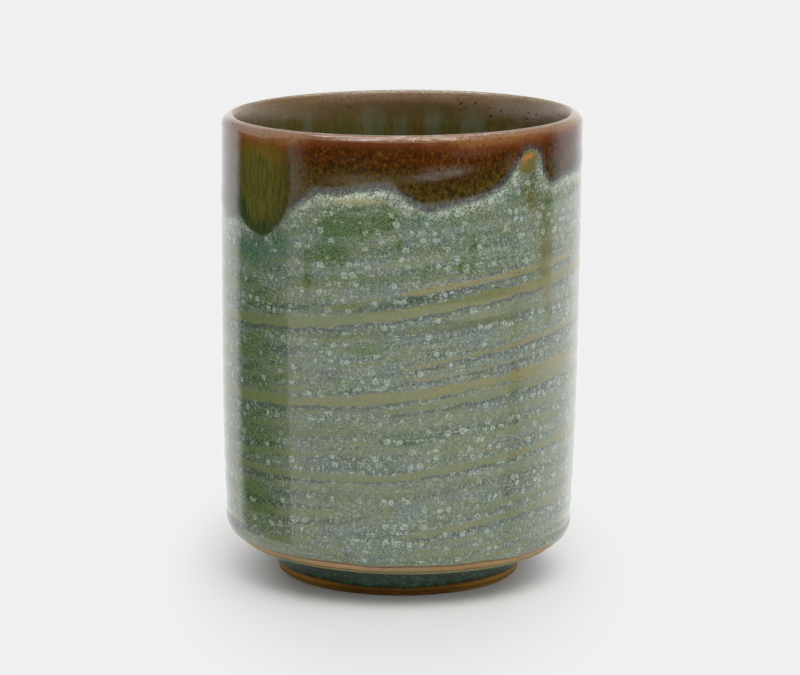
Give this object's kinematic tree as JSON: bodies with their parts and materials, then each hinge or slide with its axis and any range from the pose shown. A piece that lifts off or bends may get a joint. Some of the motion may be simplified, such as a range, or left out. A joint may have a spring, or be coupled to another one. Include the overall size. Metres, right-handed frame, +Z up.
{
  "type": "straight tea cup",
  "caption": "Straight-sided stoneware tea cup without a handle, on a low foot ring, with a wavy dipped rim glaze over a crystalline wall glaze.",
  "frame": {"origin": "centre of the foot ring's resting face", "axes": "+Z up along the cup's axis towards its mouth; -Y towards the front that the picture shows; +X to the right in it"},
  "size_m": [0.072, 0.072, 0.093],
  "materials": {
    "stoneware": "bare fired tan stoneware, matt and slightly gritty",
    "foot_stoneware": "bare fired stoneware toasted brown by the dark glaze next to it, matt",
    "grey_green_glaze": "glossy pale grey-green crystalline glaze with thin olive spiral lines",
    "iron_brown_glaze": "glossy iron-brown glaze, tan where it breaks over the lip, olive at its edge",
    "olive_liner_glaze": "glossy olive-green glaze with vertical streaks",
    "dark_green_glaze": "glossy dark green glaze",
    "recess_glaze": "semi-gloss grey-green glaze"
  },
  "bodies": {
    "root": {"clay_body": "stoneware", "foot_ring": "foot_stoneware", "outer_glaze": "grey_green_glaze", "rim_glaze": "iron_brown_glaze", "liner_glaze": "olive_liner_glaze", "foot_glaze": "dark_green_glaze", "recess_glaze": "recess_glaze"}
  },
  "joints": []
}
